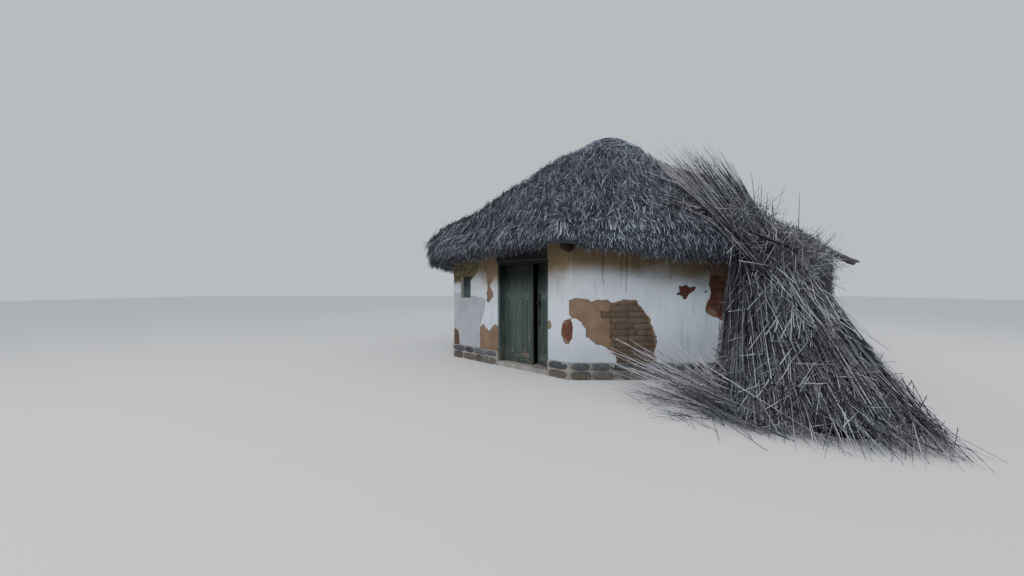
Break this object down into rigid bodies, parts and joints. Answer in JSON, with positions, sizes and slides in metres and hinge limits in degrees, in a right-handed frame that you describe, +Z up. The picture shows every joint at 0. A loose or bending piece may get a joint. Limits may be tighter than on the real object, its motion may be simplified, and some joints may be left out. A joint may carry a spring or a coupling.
{
  "type": "thatched cottage",
  "caption": "Small eight-sided adobe hut with a worn conical reed roof, a green boarded double door, a stone plinth and a heap of slid-down reeds at its front.",
  "frame": {"origin": "middle of the clay floor's underside, level with the ground", "axes": "+Z up, -Y out of the front wall, the doorway in the next wall towards -X"},
  "size_m": [9.2557, 10.9668, 5.337],
  "materials": {
    "plaster": "matt, flaking lime wash on clay render",
    "plinth_stone": "rough",
    "clay": "matt, trodden",
    "green_wood": "old paint, worn",
    "iron": "dull",
    "pole_wood": "bare, weathered",
    "thatch": "weathered reed",
    "loose_reed": "dry reed stalks"
  },
  "bodies": {
    "root": {"front_wall": "plaster", "front_right_wall": "plaster", "right_wall": "plaster", "back_right_wall": "plaster", "back_wall": "plaster", "back_left_wall": "plaster", "left_wall": "plaster", "wall_right_of_door": "plaster", "wall_left_of_door": "plaster", "wall_over_door": "plaster", "front_plinth": "plinth_stone", "right_plinth": "plinth_stone", "back_plinth": "plinth_stone", "left_plinth": "plinth_stone", "plinth_left_of_door": "plinth_stone", "threshold": "plinth_stone", "clay_floor": "clay", "door_jamb_left": "green_wood", "door_jamb_right": "green_wood", "door_head": "green_wood", "window_shutter": "green_wood", "eave_beam": "pole_wood", "rafter_front_left": "pole_wood", "rafter_front_right": "pole_wood", "rafter_right_front": "pole_wood", "rafter_right_back": "pole_wood", "rafter_back_right": "pole_wood", "rafter_back_left": "pole_wood", "rafter_left_back": "pole_wood", "rafter_left_front": "pole_wood", "rafter_boss": "pole_wood", "exposed_pole": "pole_wood", "thatch_lath": "pole_wood", "cap_binding": "pole_wood", "thatch_front": "thatch", "thatch_right": "thatch", "thatch_back": "thatch", "thatch_left": "thatch", "thatch_cap": "thatch", "slumped_thatch": "loose_reed", "reed_heap": "loose_reed", "reed_sheaf": "loose_reed"},
    "left_door": {"left_leaf": "green_wood"},
    "right_door": {"right_leaf": "green_wood", "door_lock": "iron"}
  },
  "joints": [
    {"name": "left_door_hinge", "type": "hinge", "parent": "root", "child": "left_door", "pos_m": [-2.5866, -2.40841, 0.38], "axis": [0, 0, 1], "range_deg": [0, 90]},
    {"name": "right_door_hinge", "type": "hinge", "parent": "root", "child": "right_door", "pos_m": [-1.72958, -3.26542, 0.38], "axis": [0, 0, -1], "range_deg": [-15, 75]}
  ]
}
